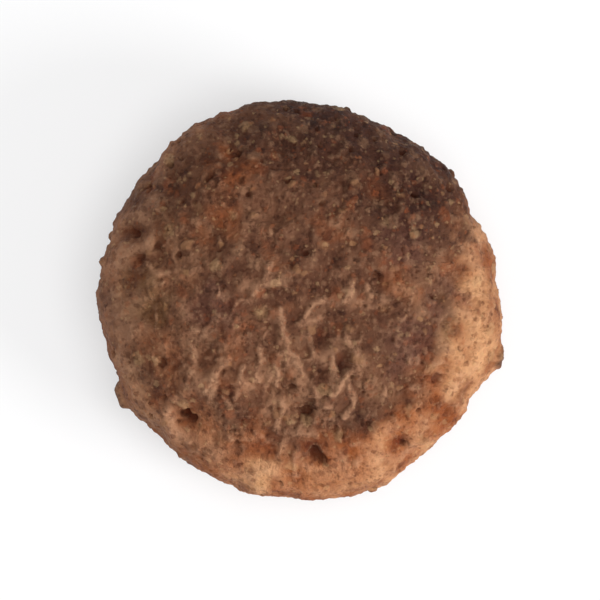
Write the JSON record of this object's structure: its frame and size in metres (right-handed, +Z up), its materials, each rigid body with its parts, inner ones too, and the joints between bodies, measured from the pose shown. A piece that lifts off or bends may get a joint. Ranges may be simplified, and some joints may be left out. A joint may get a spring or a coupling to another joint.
{
  "type": "dry pet food kibble",
  "caption": "Round dry pet food kibble: a puffed, slightly domed disc of baked dough with rounded sides, a pitted and grainy skin and a flat spot to lie on; served loose in a bowl.",
  "frame": {"origin": "on the flat spot that the piece rests on, below the middle of its outline", "axes": "+Z up, from the flat spot to the darker cut face; +X and +Y lie in the resting plane, to the right and to the top of the picture"},
  "size_m": [0.0122, 0.012, 0.0052],
  "materials": {
    "kibble": "dry and matt, fine grain, darker on the top face and lighter on the side"
  },
  "bodies": {
    "root": {"kibble": "kibble"}
  },
  "joints": []
}
